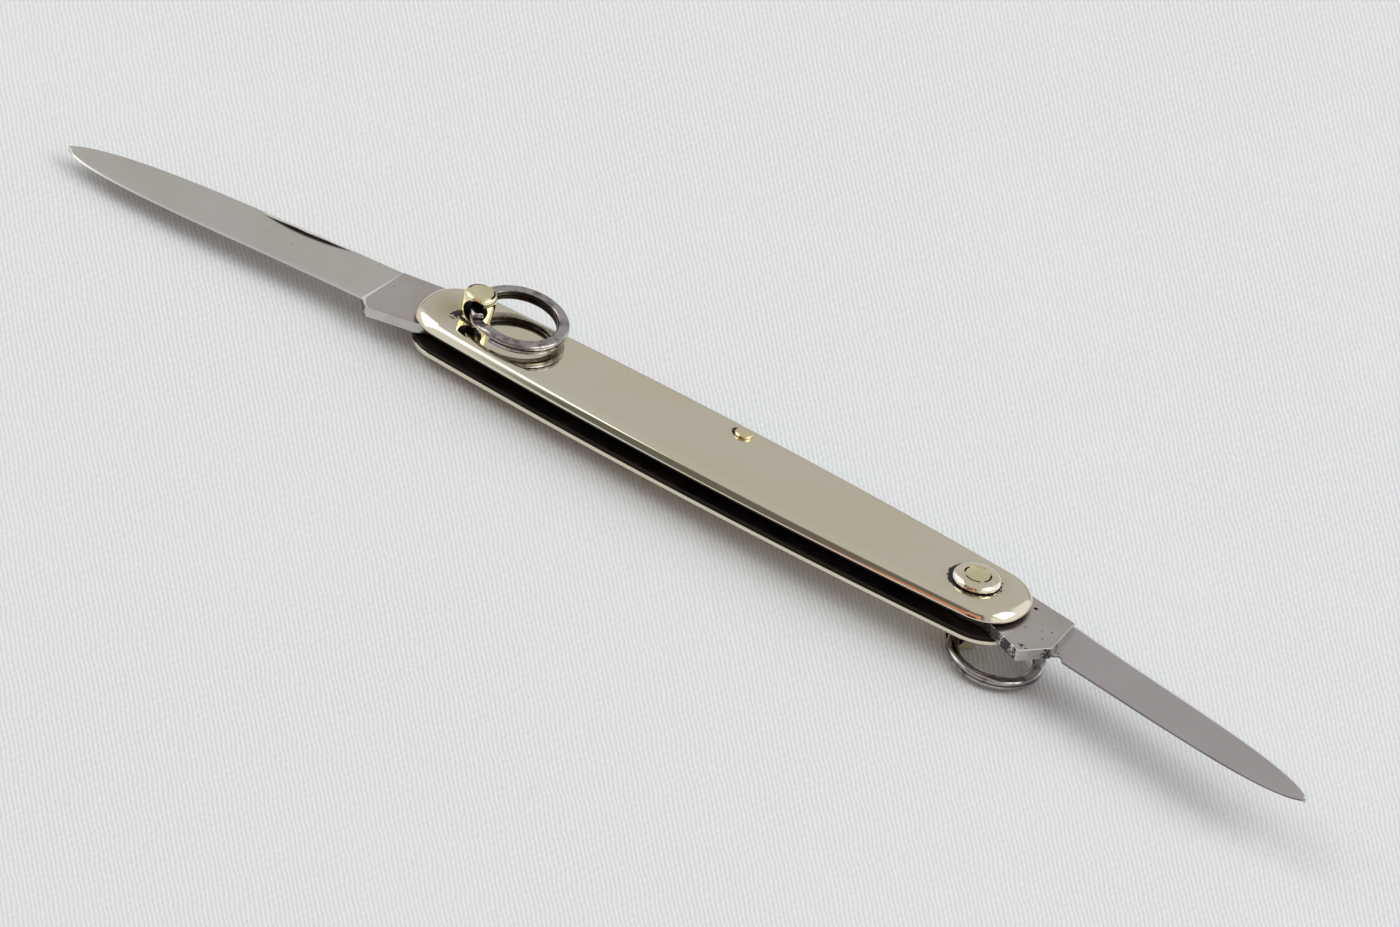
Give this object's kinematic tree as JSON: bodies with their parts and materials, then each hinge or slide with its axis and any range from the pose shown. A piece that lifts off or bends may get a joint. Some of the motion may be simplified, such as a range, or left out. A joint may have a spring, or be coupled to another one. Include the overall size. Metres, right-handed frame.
{
  "type": "folding pen knife",
  "caption": "Slim folding pen knife with rounded metal scales, a blade at each end, and a post with an eye and a split ring beside each pivot for hanging it on a chain.",
  "frame": {"origin": "middle of the handle, halfway between the ends and halfway between the two scales", "axes": "+X along the handle towards the short blade, +Y towards the handle's back, +Z out of the front scale"},
  "size_m": [0.1541, 0.013, 0.0111],
  "materials": {
    "scale_metal": "mirror polish, worn",
    "fitting_metal": "polished, worn",
    "blade_steel": "satin, worn",
    "spring_steel": "satin",
    "liner_metal": "dark patina",
    "ring_wire": "polished, worn"
  },
  "bodies": {
    "handle": {"front_scale": "scale_metal", "back_scale": "scale_metal", "front_liner": "liner_metal", "back_liner": "liner_metal", "back_spring": "spring_steel", "centre_pin": "fitting_metal", "front_eye_stud": "fitting_metal", "back_eye_stud": "fitting_metal", "front_collar": "fitting_metal", "back_collar": "fitting_metal"},
    "long_blade": {"long_blade": "blade_steel"},
    "short_blade": {"short_blade": "blade_steel"},
    "front_ring": {"front_split_ring": "ring_wire"},
    "back_ring": {"back_split_ring": "ring_wire"}
  },
  "joints": [
    {"name": "long_blade_fold", "type": "hinge", "parent": "handle", "child": "long_blade", "pos_m": [-0.0313, 0, 0], "axis": [0, 0, 1], "range_deg": [0, 167], "deforming": ["back_spring"]},
    {"name": "short_blade_fold", "type": "hinge", "parent": "handle", "child": "short_blade", "pos_m": [0.0313, 0, 0], "axis": [0, 0, -1], "range_deg": [0, 167], "deforming": ["back_spring"]},
    {"name": "front_ring_swing", "type": "hinge", "parent": "handle", "child": "front_ring", "pos_m": [-0.0313, 0, 0.00385], "axis": [0.2588, -0.9659, 0], "range_deg": [0, 172]},
    {"name": "back_ring_swing", "type": "hinge", "parent": "handle", "child": "back_ring", "pos_m": [0.0313, 0, -0.00385], "axis": [0.1564, 0.9877, 0], "range_deg": [-3, 168]}
  ]
}
